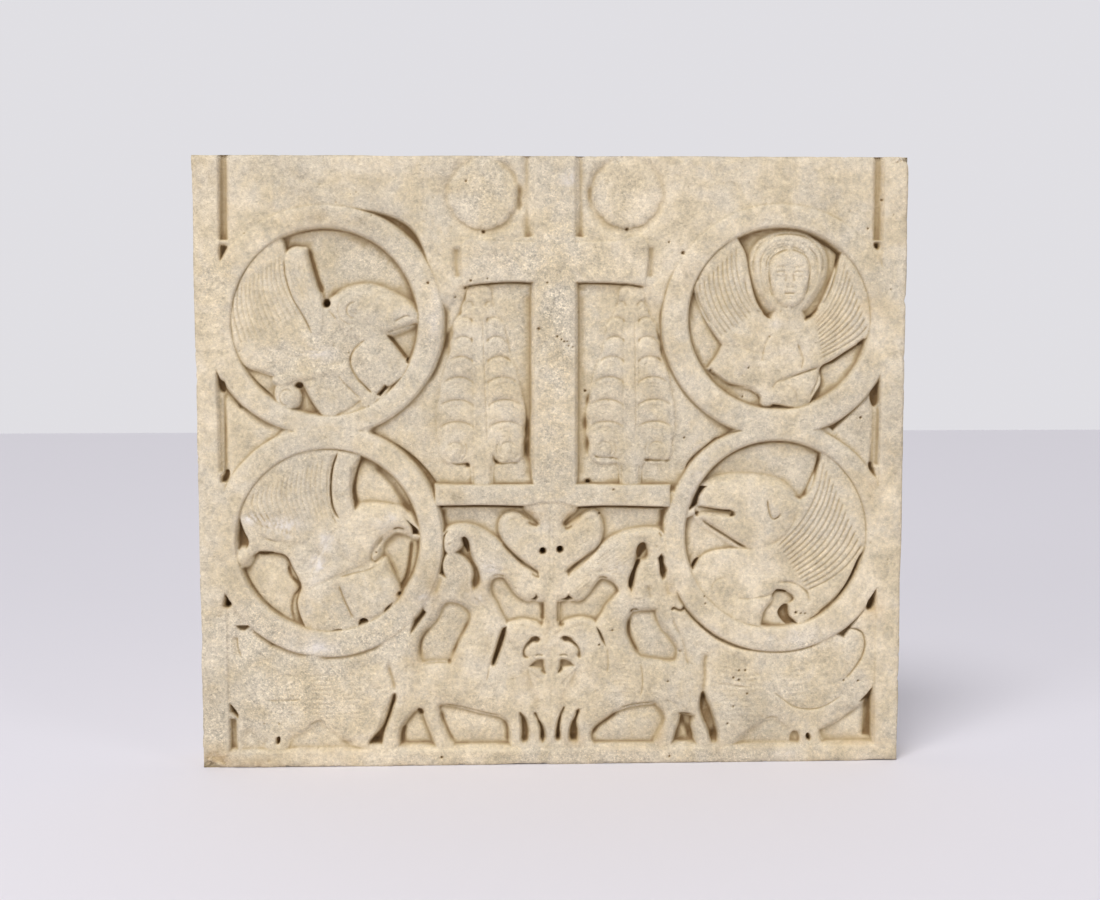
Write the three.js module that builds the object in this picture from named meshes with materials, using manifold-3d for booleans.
// Stone relief panel: an upright slab of pale marble with its front face carved in low relief.
// Four ringed roundels (a winged ox, a winged man, an eagle and a lion, each with a book) stand round
// a cross between two leafy trees, above birds and griffins at a plant and a bird in each lower corner.
//
// Millimetres, +Z up, +X right. The carved face looks along -Y and the origin is in the middle of the
// underside. Every outline is drawn on the front face as [x, z]; a third number, 1, marks a sharp
// corner, and all other points are passed smoothly. Levels are heights over the foremost plane, so
// they are zero or negative.
import * as THREE from 'three';
import * as BufferGeometryUtils from 'three/addons/utils/BufferGeometryUtils.js';
import Module from 'manifold-3d';

const WIDTH = 1000;
const HEIGHT = 866;
const THICKNESS = 100;

const FACE = -2.5; // the dressed face between the raised bands
const FIGURE = -4; // the figures inside a roundel, a little behind its ring
const PAD = -1.5; // heads, books and other forms that stand out from a figure
const HOLLOW = -8; // shallow fields beside the rings
const GROUND = -15; // floor of the cut-away ground
const SLOT = -21; // narrow cuts left by the chisel
const DRILL = -34; // drilled holes
const INCISED = 2.2; // depth of a cut line
const PROUD = 6; // how far a cutter reaches out in front of the panel
const BURIED = 30; // how far an added form reaches down into the slab
const SAG = 0.8; // a curved stretch is drawn in chords that leave the curve by less than about this
const SLIVER = 0.1; // joins leave slivers thinner than this, which are taken out of the finished solid

const wasm = await Module();
wasm.setup();

// ---------------------------------------------------------------- curves

const isCorner = (point) => point[2] === 1;

// A smooth line through the points: the tangent at a point runs along the chord of its neighbours,
// except at a corner, where each side runs straight at it.
function smooth(points, closed) {
  const count = points.length;
  const at = (i) => points[(i + count) % count];
  const unit = (from, to) => new THREE.Vector2(to[0] - from[0], to[1] - from[1]).normalize();
  const tangent = (i, other) => {
    const atEnd = !closed && (i === 0 || i === count - 1);
    if (isCorner(at(i)) || atEnd) return other > i ? unit(at(i), at(other)) : unit(at(other), at(i));
    return unit(at(i - 1), at(i + 1));
  };
  const out = [];
  const spans = closed ? count : count - 1;
  for (let i = 0; i < spans; i++) {
    const from = at(i);
    const to = at(i + 1);
    const length = Math.hypot(to[0] - from[0], to[1] - from[1]);
    const start = tangent(i, i + 1).multiplyScalar(length);
    const end = tangent(i + 1, i).multiplyScalar(length);
    const sag = start.distanceTo(end) / 8;
    const steps = Math.min(4, Math.max(1, Math.round(Math.sqrt(sag / SAG))));
    for (let s = 0; s < steps; s++) {
      const t = s / steps;
      const toShare = t * t * (3 - 2 * t);
      const startShare = t * (1 - t) * (1 - t);
      const endShare = t * t * (t - 1);
      out.push(new THREE.Vector2(
        (1 - toShare) * from[0] + toShare * to[0] + startShare * start.x + endShare * end.x,
        (1 - toShare) * from[1] + toShare * to[1] + startShare * start.y + endShare * end.y,
      ));
    }
  }
  if (!closed) out.push(new THREE.Vector2(points[count - 1][0], points[count - 1][1]));
  return out;
}

const outline = (points) => smooth(points, true);

function ellipse({ x, z, rx, rz }, sides) {
  const out = [];
  for (let i = 0; i < sides; i++) {
    const angle = (2 * Math.PI * i) / sides;
    out.push(new THREE.Vector2(x + rx * Math.cos(angle), z + rz * Math.sin(angle)));
  }
  return out;
}

const rectangle = (left, low, right, high) => [
  new THREE.Vector2(left, low),
  new THREE.Vector2(right, low),
  new THREE.Vector2(right, high),
  new THREE.Vector2(left, high),
];

const mirrored = (points) => points.map(([x, z, corner]) => [-x, z, corner]);

// A strip of the given width along an open line, drawn to a point at each end.
function strip(points, width) {
  const line = smooth(points, false);
  const last = line.length - 1;
  const sides = [[], []];
  line.forEach((point, i) => {
    if (i === 0 || i === last) return;
    const along = line[i + 1].clone().sub(line[i - 1]).normalize();
    const across = new THREE.Vector2(-along.y, along.x).multiplyScalar(width / 2);
    sides[0].push(point.clone().add(across));
    sides[1].unshift(point.clone().sub(across));
  });
  return [line[0], ...sides[0], line[last], ...sides[1]];
}

// ---------------------------------------------------------------- solids

function toManifold(geometry) {
  geometry.deleteAttribute('normal');
  geometry.deleteAttribute('uv');
  const merged = BufferGeometryUtils.mergeVertices(geometry, 1e-4);
  return new wasm.Manifold(new wasm.Mesh({
    numProp: 3,
    vertProperties: merged.attributes.position.array,
    triVerts: new Uint32Array(merged.index.array),
  }));
}

// The loop pushed straight through the panel from one level to another. A slope leans its walls, so
// that it is that much wider at the top of the slope than at its floor.
function block(loop, low, high, slope = 0, holes = []) {
  const shape = new THREE.Shape(loop);
  holes.forEach((hole) => shape.holes.push(new THREE.Path(hole)));
  const leaning = slope > 0;
  const wall = -low;
  const geometry = new THREE.ExtrudeGeometry(shape, {
    depth: leaning ? high : high - low,
    bevelEnabled: leaning,
    bevelThickness: wall,
    bevelSize: slope,
    bevelOffset: -slope / 2,
    bevelSegments: 1,
    steps: 1,
  });
  geometry.translate(0, 0, THICKNESS / 2 + (leaning ? 0 : low));
  geometry.rotateX(Math.PI / 2);
  return toManifold(geometry);
}

const cutter = (loop, floor, slope) => block(loop, floor, PROUD, slope);
const raised = (loop, top, holes) => block(loop, top - BURIED, top, 0, holes);
const field = (points, floor = GROUND, slope = 3) => cutter(outline(points), floor, slope);
const slot = (points, floor = SLOT) => cutter(outline(points), floor, 1.2);
const pad = (points, top = PAD) => raised(outline(points), top);
const incised = (points, level, width = 2.6) => cutter(strip(points, width), level - INCISED, 0);

function drilled(x, z, radius, floor = DRILL) {
  return cutter(ellipse({ x, z, rx: radius, rz: radius }, 10), floor, 0);
}

const joined = (solid, forms) => forms.reduce((sum, form) => sum.add(form), solid);
const cutAway = (solid, forms) => forms.reduce((rest, form) => rest.subtract(form), solid);

// ---------------------------------------------------------------- rings, borders, cross

const RING_SIDES = 40;
const RINGS = {
  ox: { outer: { x: -320, z: 637, rx: 165, rz: 160 }, inner: { x: -318.5, z: 635, rx: 130.5, rz: 132 } },
  man: { outer: { x: 320, z: 636.5, rx: 164, rz: 163 }, inner: { x: 320, z: 639.5, rx: 130, rz: 129.5 } },
  eagle: { outer: { x: -319, z: 325, rx: 161, rz: 164 }, inner: { x: -317, z: 326.5, rx: 130, rz: 130.5 } },
  lion: { outer: { x: 322, z: 326, rx: 161, rz: 163 }, inner: { x: 319, z: 332, rx: 131, rz: 136 } },
};

const ring = ({ outer, inner }) => raised(ellipse(outer, RING_SIDES), 0, [ellipse(inner, RING_SIDES)]);
const roundelFloor = ({ inner }) => cutter(ellipse(inner, RING_SIDES), FIGURE, 0);

function borders() {
  const stripTop = HEIGHT;
  return [
    raised(rectangle(-WIDTH / 2, 0, -462, stripTop), 0),
    raised(rectangle(465, 0, WIDTH / 2, stripTop), 0),
    raised(rectangle(-WIDTH / 2, 0, WIDTH / 2, 26), 0),
  ];
}

function cross() {
  const shaft = { left: -26, right: 31 };
  const arm = { low: 692, high: 745, flare: 5, leftEnd: -123, rightEnd: 128 };
  const armOutline = [
    [shaft.left, arm.low, 1],
    [arm.leftEnd, arm.low - arm.flare, 1],
    [arm.leftEnd, arm.high + arm.flare, 1],
    [shaft.left, arm.high, 1],
    [shaft.right, arm.high, 1],
    [arm.rightEnd, arm.high + arm.flare, 1],
    [arm.rightEnd, arm.low - arm.flare, 1],
    [shaft.right, arm.low, 1],
  ];
  return [
    raised(rectangle(shaft.left, 380, shaft.right, HEIGHT), 0),
    raised(outline(armOutline), 0),
    raised(rectangle(-164, 376, 164, 404), 0), // the bar that the cross and both trees stand on
  ];
}

// Grooves that set the upper shaft and the ends of the arms off the dressed face.
function crossGrooves() {
  return [
    slot([[-41, HEIGHT + 5, 1], [-27, HEIGHT + 5, 1], [-27, 748, 1], [-41, 748, 1]], -10),
    slot([[32, HEIGHT + 5, 1], [47, HEIGHT + 5, 1], [47, 748, 1], [32, 748, 1]], -10),
    slot([[-139, 742], [-125, 742, 1], [-125, 690, 1], [-141, 690, 1]], -9),
    slot([[130, 742, 1], [144, 740], [146, 690, 1], [130, 688, 1]], -9),
  ];
}

// A rosette is a scalloped disc in a round ditch, with a shallow line between its petals.
const ROSETTE = { x: 100, z: 810, radius: 49, petals: 10, scallop: 2.2, ditch: 9, heart: 9 };

function rosette(x) {
  const { z, radius, petals, scallop, ditch, heart } = ROSETTE;
  const rim = (grow) => {
    const steps = petals * 4;
    const loop = [];
    for (let i = 0; i < steps; i++) {
      const angle = (2 * Math.PI * i) / steps;
      const reach = radius + grow - scallop * Math.abs(Math.sin((petals * angle) / 2 + Math.PI / 2));
      loop.push(new THREE.Vector2(x + reach * Math.cos(angle), z + reach * Math.sin(angle)));
    }
    return loop;
  };
  const petalLines = [];
  for (let i = 0; i < petals; i++) {
    const angle = (2 * Math.PI * (i + 0.5)) / petals;
    const point = (reach) => [x + reach * Math.cos(angle), z + reach * Math.sin(angle)];
    petalLines.push(incised([point(heart), point(radius * 0.55), point(radius * 0.9)], FACE, 2));
  }
  return {
    ditch: cutter(rim(ditch), HOLLOW, 0),
    disc: raised(rim(0), FACE),
    lines: petalLines,
  };
}

// ---------------------------------------------------------------- trees

// One half of a tree: a rib with lobed leaves stacked beside it and a scroll at the foot.
const TREE = {
  apex: 684,
  foot: 404,
  trunkHalf: 13,
  scrollTop: 478,
  scrollLow: 438,
  widest: 59,
  leaves: 5,
};

function tree(x) {
  const { apex, foot, trunkHalf, scrollTop, scrollLow, widest, leaves } = TREE;
  const halfWidth = (z) => 11 + (widest - 11) * Math.sin(((apex - z) / (apex - scrollLow)) * 1.5);
  const leafHeight = (apex - scrollTop) / leaves;
  const side = (sign) => {
    const points = [[x, apex + 4, 1]];
    for (let i = 0; i < leaves; i++) {
      const top = apex - i * leafHeight;
      points.push([x + sign * (halfWidth(top) - 2), top - 0.3 * leafHeight]);
      points.push([x + sign * (halfWidth(top - leafHeight) + 1), top - 0.85 * leafHeight]);
    }
    points.push([x + sign * (widest - 5), scrollTop - 3, 1]);
    points.push([x + sign * widest, (scrollTop + scrollLow) / 2]);
    points.push([x + sign * (widest - 12), scrollLow, 1]);
    points.push([x + sign * trunkHalf, scrollLow - 2, 1]);
    points.push([x + sign * trunkHalf, foot - 6, 1]);
    return points;
  };
  const right = side(1);
  const left = side(-1).slice(1).reverse();
  const form = raised(outline([...right, ...left]), FACE);

  const lines = [];
  for (let i = 1; i <= leaves; i++) {
    const z = apex - i * leafHeight;
    for (const sign of [-1, 1]) {
      const reach = halfWidth(z);
      const line = [
        [x + sign * 9, z - 0.12 * leafHeight],
        [x + sign * reach * 0.5, z + 0.1 * leafHeight],
        [x + sign * reach * 0.98, z - 0.08 * leafHeight],
      ];
      lines.push(incised(line, FACE, 3.4));
    }
  }
  for (const sign of [-1, 1]) {
    lines.push(incised([[x + sign * 7, apex - 20], [x + sign * 9, 560], [x + sign * 10, scrollLow]], FACE));
    lines.push(drilled(x + sign * 36, (scrollTop + scrollLow) / 2, 6, FACE - INCISED));
  }
  return { form, lines };
}

// ---------------------------------------------------------------- roundels

function oxRoundel() {
  return {
    fields: [
      field([
        [-385, 765, 1], [-320, 790], [-200, 770], [-165, 660, 1], [-193, 651, 1], [-203, 658], [-225, 670],
        [-262, 681], [-292, 674], [-309, 667], [-318, 655], [-327, 664], [-334, 692], [-343, 730],
        [-352, 739], [-372, 730, 1], [-378, 745],
      ]),
      field([[-233, 619, 1], [-194, 633, 1], [-160, 610, 1], [-203, 577, 1], [-214, 590]]),
      field([[-364, 544], [-357, 552], [-349, 547], [-336, 526], [-320, 503, 1], [-345, 502], [-368, 511],
        [-362, 526]]),
      field([[-470, 620, 1], [-440, 584], [-425, 570], [-392, 529, 1], [-430, 520, 1]]),
    ],
    pads: [
      pad([[-308, 650], [-297, 672], [-262, 680], [-225, 669], [-203, 657], [-193, 648], [-195, 634],
        [-233, 618, 1], [-262, 611], [-295, 622]]),
      pad([[-283, 592], [-262, 609], [-236, 617, 1], [-203, 580, 1], [-215, 555], [-246, 538], [-262, 545],
        [-279, 565]]),
      pad([[-372, 729, 1], [-345, 739, 1], [-335, 700], [-322, 665], [-334, 618, 1], [-358, 655],
        [-371, 692]]),
      pad([[-345, 548], [-320, 561], [-300, 553], [-272, 530], [-278, 517], [-310, 501], [-321, 503, 1]]),
    ],
    cuts: [
      drilled(-317, 661, 6.5, SLOT),
      drilled(-357, 547, 5, SLOT),
      slot([[-236, 548, 1], [-232, 545, 1], [-245, 532, 1], [-248, 535, 1]]),
      incised([[-195, 645], [-208, 642], [-219, 638]], PAD),
      incised([[-311, 572], [-300, 553], [-285, 542], [-271, 530], [-279, 515]], FIGURE),
    ],
    feathers: feathers(
      [[-438, 700], [-440, 640], [-418, 578]],
      [[-381, 742], [-380, 690], [-346, 620]],
      6,
    ),
  };
}

function manRoundel() {
  return {
    fields: [
      field([
        [255, 762, 1], [300, 790], [400, 775], [409, 738, 1], [403, 715], [394, 690], [380, 658],
        [366, 640], [352, 636], [349, 652], [368, 674], [381, 700], [381, 727], [364, 749], [335, 757],
        [303, 751], [287, 733], [284, 712], [289, 690], [300, 664], [315, 651], [313, 640], [303, 641],
        [286, 664], [276, 700], [271, 730], [262, 748],
      ]),
      field([[199, 687, 1], [207, 664], [219, 636], [240, 603, 1], [233, 586], [220, 569, 1], [170, 580, 1],
        [175, 670, 1]]),
      field([[217, 571, 1], [226, 565], [246, 551], [262, 546], [282, 540], [296, 530], [299, 518],
        [320, 518], [346, 511, 1], [330, 480, 1], [200, 540, 1]], -12),
      field([[447, 612, 1], [433, 604], [396, 581], [380, 570], [380, 548], [371, 532], [361, 512, 1],
        [400, 480, 1], [480, 560, 1]], -12),
    ],
    pads: [
      pad([[334, 757], [303, 750], [287, 733], [285, 712], [291, 690], [302, 665], [316, 655], [349, 657],
        [366, 674], [379, 700], [379, 727], [364, 748]]),
    ],
    cuts: [
      incised([[319, 659], [313, 680], [308, 705], [318, 728], [335, 733], [351, 728], [361, 705],
        [356, 680], [348, 660]], PAD, 3),
      incised([[321, 706], [327, 708], [333, 705]], PAD, 3),
      incised([[338, 705], [344, 708], [350, 706]], PAD, 3),
      incised([[335.5, 704], [336, 694], [335.5, 686]], PAD, 3),
      incised([[327, 676], [335.5, 674], [344, 676]], PAD, 3),
      incised([[381, 573], [350, 561], [318, 550]], FIGURE),
    ],
    feathers: [
      ...feathers([[212, 708], [216, 668], [246, 622]], [[262, 750], [262, 690], [286, 640]], 6),
      ...feathers([[408, 722], [398, 668], [372, 640]], [[443, 640], [420, 606], [378, 592]], 6),
    ],
  };
}

function eagleRoundel() {
  return {
    fields: [
      field([
        [-272, 447, 1], [-235, 470], [-160, 400], [-165, 335, 1], [-191, 334, 1], [-198, 347], [-209, 362],
        [-235, 371], [-262, 373], [-279, 368], [-286, 395], [-281, 425],
      ]),
      field([
        [-206, 341], [-226, 343], [-246, 327], [-256, 303], [-251, 293], [-240, 296, 1], [-231, 272],
        [-219, 245, 1], [-170, 280, 1], [-175, 330, 1],
      ]),
      field([[-442, 358, 1], [-437, 341], [-431, 326], [-433, 316], [-442, 312, 1], [-460, 330, 1]]),
      field([
        [-428, 304], [-417, 311], [-399, 312], [-378, 306], [-368, 288], [-357, 262], [-361, 235],
        [-352, 201, 1], [-400, 180, 1], [-465, 280, 1], [-441, 287],
      ]),
    ],
    pads: [
      pad([[-305, 272, 1], [-275, 282], [-241, 296, 1], [-219, 247, 1], [-250, 222], [-283, 213, 1],
        [-295, 245]]),
      pad([[-303, 452, 1], [-274, 443, 1], [-285, 405], [-281, 368, 1], [-300, 340, 1], [-312, 372],
        [-314, 410]]),
      pad([[-282, 366], [-262, 372], [-235, 370], [-210, 363], [-192, 335, 1], [-207, 341], [-226, 343],
        [-246, 327], [-258, 300], [-290, 305], [-298, 335]]),
      raised(ellipse({ x: -438, z: 303, rx: 10, rz: 11 }, 10), PAD),
    ],
    cuts: [
      drilled(-270, 207, 8),
      slot([[-230, 236, 1], [-233, 229, 1], [-241, 222, 1], [-239, 229, 1]]),
      slot([[-303, 199], [-305, 193], [-326, 191, 1], [-315, 197]], -12),
    ],
    feathers: feathers(
      [[-418, 395], [-405, 360], [-360, 322]],
      [[-318, 452], [-328, 405], [-315, 350]],
      6,
    ),
  };
}

function lionRoundel() {
  return {
    fields: [
      field([
        [207, 399, 1], [218, 402], [242, 410], [285, 411], [325, 402], [354, 380], [361, 388], [370, 406],
        [381, 432], [384, 449, 1], [350, 490, 1], [230, 470, 1],
      ]),
      field([[204, 362, 1], [216, 348], [234, 337], [258, 320], [281, 311, 1], [250, 311], [225, 306],
        [210, 296], [202, 283, 1], [170, 300, 1], [175, 350, 1]], -12),
      field([[448, 309, 1], [440, 299], [433, 284], [420, 257], [399, 228], [372, 210, 1], [420, 180, 1],
        [480, 270, 1]], -12),
      field([[298, 201], [301, 220], [313, 236], [320, 249], [334, 249], [347, 238], [338, 227], [341, 212],
        [350, 201], [325, 196]], -12),
    ],
    pads: [
      pad([[212, 398], [240, 409], [285, 410], [322, 400], [343, 374], [336, 338], [308, 318], [281, 312],
        [250, 326], [234, 338], [212, 352], [206, 366], [208, 386]]),
      pad([[262, 238, 1], [298, 240], [314, 239, 1], [300, 218], [297, 201, 1], [258, 206, 1]]),
    ],
    cuts: [
      slot([[219, 402, 1], [209, 385], [206, 373], [196, 368, 1], [192, 385, 1], [206, 400]]),
      slot([[203, 374, 1], [240, 368], [258, 366], [261, 361], [256, 357], [238, 358], [203, 363, 1]], -13),
      slot([[208, 298], [206, 290], [200, 281, 1], [200, 290]]),
      drilled(350, 218, 2.5, SLOT),
      incised([[306, 384], [308, 366], [315, 354], [325, 362]], PAD),
      incised([[262, 240], [300, 241], [318, 247]], FIGURE),
      incised([[228, 247], [233, 264], [265, 272], [335, 270], [362, 252], [374, 226]], FIGURE),
    ],
    feathers: feathers(
      [[384, 440], [377, 385], [335, 325]],
      [[446, 320], [415, 275], [370, 245]],
      8,
    ),
  };
}

// Cut lines that turn by equal steps from one edge of a wing to the other.
function feathers(first, last, count) {
  const lines = [];
  for (let i = 0; i < count; i++) {
    const share = (i + 0.5) / count;
    const line = first.map(([x, z], k) => [
      x + (last[k][0] - x) * share,
      z + (last[k][1] - z) * share,
    ]);
    lines.push(incised(line, FIGURE, 2.2));
  }
  return lines;
}

// ---------------------------------------------------------------- fields round the cross and trees

function sideHollows() {
  return [
    field([[-461, 572, 1], [-374, 486, 1], [-461, 408, 1]], HOLLOW, 1),
    field([[457, 556, 1], [376, 482, 1], [457, 412, 1]], HOLLOW, 1),
  ];
}

function treeFields() {
  const left = [[-20, 690, 1], [-124, 690, 1], [-141, 700], [-175, 706], [-205, 600], [-262, 484, 1],
    [-200, 395, 1], [-20, 395, 1]];
  const right = [[20, 690, 1], [129, 688, 1], [145, 702], [172, 714], [205, 600], [262, 484, 1],
    [200, 395, 1], [20, 395, 1]];
  return [field(left), field(right)];
}

// ---------------------------------------------------------------- birds, griffins and plant

// Ground between the bar, the birds' backs and the lobed leaves at the top of the plant.
function groundOverBirds() {
  return [
    field([
      [-163, 384, 1], [-40, 384, 1], [-28, 369], [-15, 357], [-14, 348], [-22, 344], [-38, 352],
      [-58, 363], [-68, 352], [-66, 331], [-50, 308], [-30, 294], [-15, 282], [-19, 271], [-34, 279],
      [-50, 292], [-64, 311], [-80, 329], [-98, 340], [-120, 346], [-142, 344], [-156, 332, 1],
      [-175, 332, 1],
    ]),
    field([
      [163, 384, 1], [175, 334, 1], [157, 333, 1], [147, 338], [124, 338], [98, 332], [78, 321],
      [62, 307], [44, 290], [23, 272], [16, 281], [26, 291], [46, 303], [59, 316], [63, 333], [63, 352],
      [55, 362], [33, 351], [18, 343], [12, 349], [15, 357], [29, 369], [40, 384, 1],
    ]),
  ];
}

function birdHollows() {
  return [
    slot([[-147, 345, 1], [-155, 333], [-155, 318], [-150, 306], [-156, 297], [-157, 287], [-150, 271, 1],
      [-163, 283], [-161, 300], [-160, 330]]),
    slot([[157, 307, 1], [148, 297], [152, 285], [156, 267, 1], [164, 283], [160, 300]]),
    field([[-130, 330], [-122, 328], [-116, 315], [-113, 297], [-103, 276], [-105, 262], [-114, 255],
      [-122, 262], [-122, 280], [-127, 292], [-141, 309, 1], [-130, 314]], GROUND, 1.5),
    field([[128, 322], [137, 319], [139, 308], [139, 298], [130, 297], [122, 288], [117, 275], [115, 252, 1],
      [109, 255], [108, 267], [111, 282], [114, 297], [118, 312]], GROUND, 1.5),
    field([[-160, 268], [-155, 250], [-162, 240], [-170, 238], [-172, 250], [-168, 264]], HOLLOW, 1),
    field([[168, 268], [176, 250], [174, 238], [166, 236], [162, 250]], HOLLOW, 1),
    field([[137, 260], [147, 250], [148, 230], [136, 228], [131, 245]], HOLLOW, 1),
  ];
}

function fieldsBelowBirds() {
  return [
    field([
      [-92, 262], [-87, 272], [-77, 276], [-67, 274], [-57, 261], [-47, 245], [-35, 241], [-26, 247],
      [-20, 240], [-11, 237], [-11, 206], [-16, 199], [-26, 204], [-44, 206], [-60, 203], [-68, 201, 1],
      [-76, 216], [-84, 233], [-91, 248],
    ]),
    field([
      [95, 249], [90, 262], [81, 269], [68, 271], [57, 261], [47, 247], [37, 240], [29, 244], [22, 248],
      [13, 242], [6, 236], [6, 206], [12, 200], [20, 206], [38, 210], [52, 207], [62, 203, 1], [72, 215],
      [79, 228], [88, 238],
    ]),
    slot([[-66, 201, 1], [-68, 184], [-75, 163], [-84, 145], [-89, 149], [-85, 164], [-79, 184],
      [-77, 201, 1]]),
    slot([[59, 205, 1], [67, 196], [75, 184], [76, 170, 1], [70, 174], [65, 187]]),
  ];
}

function griffinFields() {
  return [
    field([
      [-188, 150], [-193, 166], [-190, 186], [-177, 205], [-163, 228], [-145, 238], [-126, 232],
      [-115, 212], [-122, 193], [-133, 172], [-142, 155], [-152, 149], [-170, 148],
    ]),
    field([
      [111, 223], [128, 225], [149, 223], [153, 205], [165, 188], [178, 171], [182, 160], [174, 146],
      [150, 147], [130, 150], [117, 163], [108, 180], [104, 198], [105, 212],
    ]),
    field([[-166, 87], [-152, 89], [-140, 87], [-110, 78], [-70, 71], [-61, 60], [-60, 26, 1],
      [-143, 26, 1], [-154, 53], [-163, 72]]),
    field([[148, 90], [128, 89], [110, 86], [94, 78], [74, 65], [57, 52], [51, 38], [53, 26, 1],
      [148, 26, 1], [160, 46], [165, 60], [158, 76]]),
    field([[-223, 26, 1], [-222, 54], [-212, 70], [-200, 81], [-190, 82], [-184, 74], [-179, 55],
      [-169, 26, 1]]),
    field([[164, 26, 1], [173, 50], [181, 74, 1], [195, 73], [206, 68], [208, 48], [206, 26, 1]]),
    slot([[-187, 232], [-181, 223], [-187, 212], [-196, 201], [-203, 194, 1], [-199, 206], [-194, 218]]),
    slot([[169, 226], [174, 227], [182, 224], [190, 227], [197, 221], [188, 215], [174, 213]], -12),
  ];
}

function tailGrooves() {
  return [
    slot([[-269, 26, 1], [-260, 42], [-247, 68], [-238, 94], [-234, 125], [-235, 152], [-228, 150],
      [-224, 128], [-221, 106], [-229, 80], [-238, 55], [-243, 26, 1]]),
    slot([[242, 26, 1], [240, 42], [232, 62], [226, 82], [223, 106], [224, 135], [222, 162], [215, 160],
      [214, 130], [214, 100], [213, 72], [218, 48], [228, 26, 1]]),
  ];
}

// The plant: slender stem, two small scrolled leaves and a cup of long leaves round its foot.
function plantCuts() {
  const forLeft = [
    [[-41, 141], [-35, 142], [-31, 126], [-25, 105], [-18, 84], [-12, 62], [-9, 43], [-14, 32], [-20, 36],
      [-22, 52], [-28, 74], [-33, 92], [-38, 116]],
    [[-48, 75], [-41, 72], [-34, 60], [-33, 45], [-35, 31], [-44, 31], [-48, 45], [-49, 60]],
  ];
  const forRight = [
    [[34, 147], [38, 138], [37, 120], [38, 104], [28, 90], [17, 82], [14, 62], [12, 40], [7, 32], [3, 38],
      [4, 55], [9, 76], [12, 98], [20, 122]],
    [[40, 79], [32, 78], [27, 64], [21, 48], [22, 35], [28, 31], [37, 35], [38, 52]],
  ];
  const leafCurls = [
    [[-15, 183], [-25, 188], [-36, 183], [-42, 172], [-44, 160], [-37, 156], [-33, 160], [-34, 170],
      [-27, 178], [-20, 178]],
    [[10, 183], [18, 187], [30, 183], [38, 172], [41, 160], [36, 156], [31, 162], [30, 170], [24, 178],
      [15, 179]],
  ];
  const leafForks = [
    [[-30, 146], [-20, 150], [-12, 145], [-10, 131, 1], [-20, 141]],
    [[30, 150], [18, 152], [8, 147], [7, 132, 1], [16, 143]],
  ];
  return [
    ...[...forLeft, ...forRight].map((points) => slot(points, -18)),
    ...[...leafCurls, ...leafForks].map((points) => slot(points, -11)),
    drilled(-14, 311, 5.5),
    drilled(10, 312, 5.5),
  ];
}

function griffinLines() {
  const wingEdge = [[-92, 141], [-95, 128], [-92, 116]];
  const rightWingEdges = [[[77, 168], [79, 150], [77, 130]], [[119, 158], [128, 130], [124, 96]]];
  const wingBars = [];
  for (let i = 0; i < 6; i++) {
    const z = 106 + i * 13;
    wingBars.push(incised([[82, z + 3], [95, z + 1], [112 - i * 2, z - 2]], FACE));
    wingBars.push(incised([[-98, z + 3], [-112, z + 1], [-128 + i * 2, z - 2]], FACE));
  }
  return [
    incised(wingEdge, FACE),
    ...rightWingEdges.map((line) => incised(line, FACE)),
    ...wingBars,
  ];
}

// ---------------------------------------------------------------- birds in the lower corners

function cornerCuts() {
  return [
    slot([[-465, 26, 1], [-468, 60], [-469, 88], [-463, 97, 1], [-449, 72], [-450, 26, 1]], -12),
    slot([[466, 26, 1], [466, 80], [463, 106, 1], [448, 92], [444, 86, 1], [449, 60], [449, 32],
      [420, 26, 1]], -14),
    field([[-380, 26, 1], [-358, 50], [-336, 66], [-318, 58], [-298, 38], [-276, 26, 1]], HOLLOW, 2),
    field([[262, 26, 1], [285, 48], [318, 66], [338, 52], [347, 38], [350, 26, 1]], HOLLOW, 2),
    field([[382, 44], [396, 52], [425, 55], [450, 60, 1], [450, 26, 1], [400, 26], [388, 32]], HOLLOW, 2),
    slot([[-453, 207, 1], [-430, 207, 1], [-434, 201], [-441, 198], [-448, 201]]),
    drilled(-393, 39, 3.5, SLOT),
    drilled(371, 36, 5, SLOT),
  ];
}

function cornerLines() {
  const lines = [
    [[410, 193], [428, 195], [442, 191], [451, 175], [448, 155], [437, 138], [424, 121]],
    [[310, 112], [325, 97], [345, 82], [367, 77], [392, 82], [412, 93], [426, 102]],
  ];
  const fans = [];
  for (let i = 0; i < 4; i++) {
    const z = 60 + i * 24;
    fans.push([[234, z + 4], [268, z + 2], [300, z - 4 + i * 2]]);
    fans.push([[-244, z + 6], [-290, z + 4], [-335, z - 2 + i * 2]]);
  }
  const leftWing = mirrored(lines[1]).map(([x, z]) => [x - 10, z + 2]);
  return [...lines, leftWing, ...fans].map((line) => incised(line, FACE));
}

// Long slots between the side borders and the carving, and small holes along them.
function borderSlots() {
  return [
    slot([[-461, HEIGHT + 5, 1], [-450, HEIGHT + 5, 1], [-451, 745], [-455, 731], [-463, 719, 1],
      [-463, 745]], -14),
    slot([[-472, 571, 1], [-466, 560], [-460, 546], [-460, 430], [-459, 419], [-464, 411], [-469, 416],
      [-470, 432], [-471, 545]], -16),
    slot([[-464, 253, 1], [-458, 242], [-456, 236], [-461, 230], [-467, 233], [-467, 240]], DRILL),
    slot([[452, HEIGHT + 5, 1], [464, HEIGHT + 5, 1], [463, 746], [458, 737], [452, 743]], -14),
    slot([[465, 552, 1], [464, 430], [462, 413, 1], [454, 426], [453, 445], [455, 500], [452, 535]], -16),
    slot([[464, 253, 1], [464, 232], [461, 222], [453, 221], [453, 232], [458, 243]], DRILL),
  ];
}

// ---------------------------------------------------------------- the panel

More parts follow.
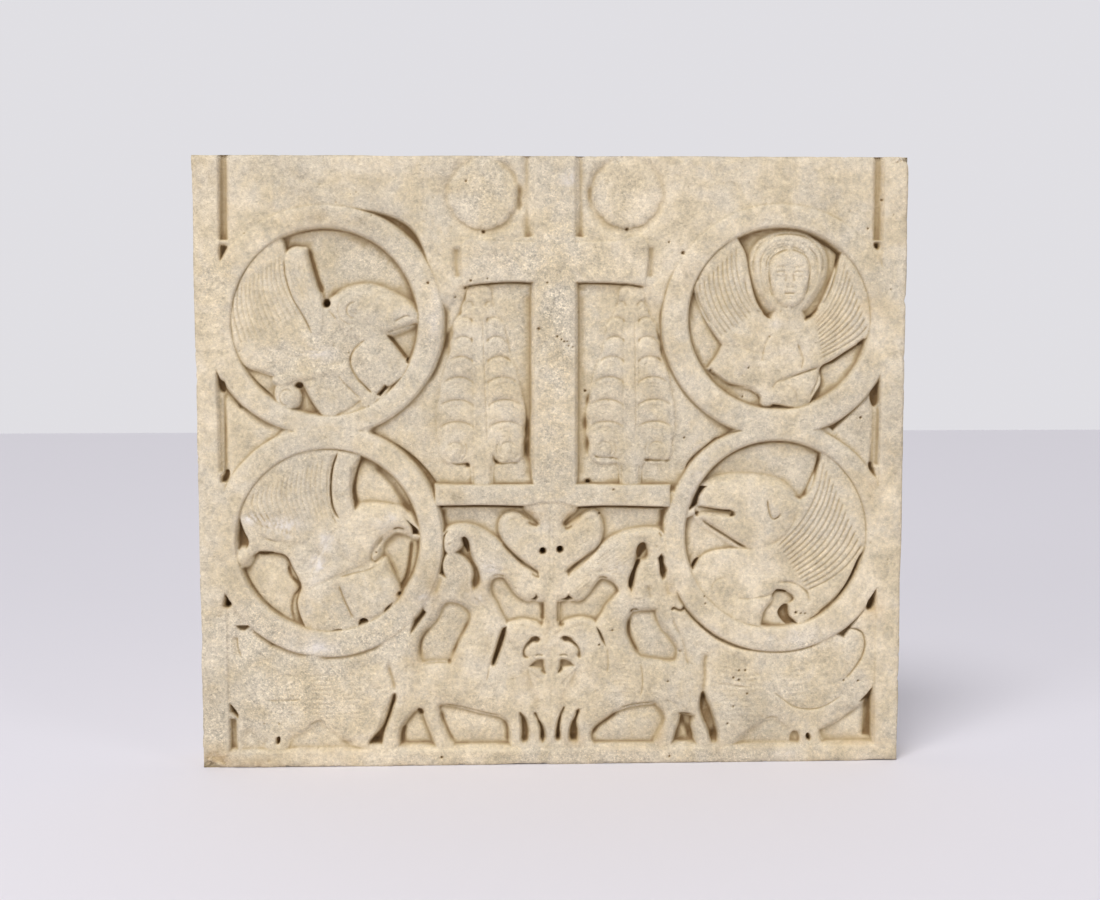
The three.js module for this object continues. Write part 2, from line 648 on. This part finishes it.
function carvedPanel() {
  const faceDepth = THICKNESS + FACE;
  const slab = new THREE.BoxGeometry(WIDTH, faceDepth, HEIGHT);
  slab.translate(0, (THICKNESS - faceDepth) / 2, HEIGHT / 2);

  const rosettes = [rosette(-ROSETTE.x + 3), rosette(ROSETTE.x + 3)];
  const trees = [tree(-104), tree(113)];
  const roundels = [oxRoundel(), manRoundel(), eagleRoundel(), lionRoundel()];

  let panel = toManifold(slab);
  panel = cutAway(panel, Object.values(RINGS).map(roundelFloor));
  panel = joined(panel, roundels.flatMap((roundel) => roundel.pads));
  panel = cutAway(panel, [
    ...roundels.flatMap((roundel) => roundel.fields),
    ...sideHollows(),
    ...treeFields(),
    ...groundOverBirds(),
    ...rosettes.map((flower) => flower.ditch),
  ]);
  panel = joined(panel, [
    ...rosettes.map((flower) => flower.disc),
    ...trees.map((leafy) => leafy.form),
    ...Object.values(RINGS).map(ring),
    ...borders(),
    ...cross(),
  ]);
  panel = cutAway(panel, [
    ...birdHollows(),
    ...fieldsBelowBirds(),
    ...griffinFields(),
    ...tailGrooves(),
    ...plantCuts(),
    ...cornerCuts(),
    ...borderSlots(),
    ...crossGrooves(),
    ...roundels.flatMap((roundel) => [...roundel.cuts, ...roundel.feathers]),
    ...rosettes.flatMap((flower) => flower.lines),
    ...trees.flatMap((leafy) => leafy.lines),
    ...griffinLines(),
    ...cornerLines(),
  ]);
  return panel.asOriginal().simplify(SLIVER);
}

function meshOf(name, solid, material) {
  const { vertProperties, triVerts } = solid.getMesh();
  const geometry = new THREE.BufferGeometry();
  geometry.setAttribute('position', new THREE.BufferAttribute(new Float32Array(vertProperties), 3));
  geometry.setIndex(new THREE.BufferAttribute(new Uint32Array(triVerts), 1));
  geometry.computeVertexNormals();
  const mesh = new THREE.Mesh(geometry, material);
  mesh.name = name;
  return mesh;
}

const marble = new THREE.MeshStandardMaterial({ color: 0xd6cbb5, roughness: 0.75, metalness: 0 });

const panel = new THREE.Group();
panel.add(meshOf('relief_panel', carvedPanel(), marble));

export default panel;
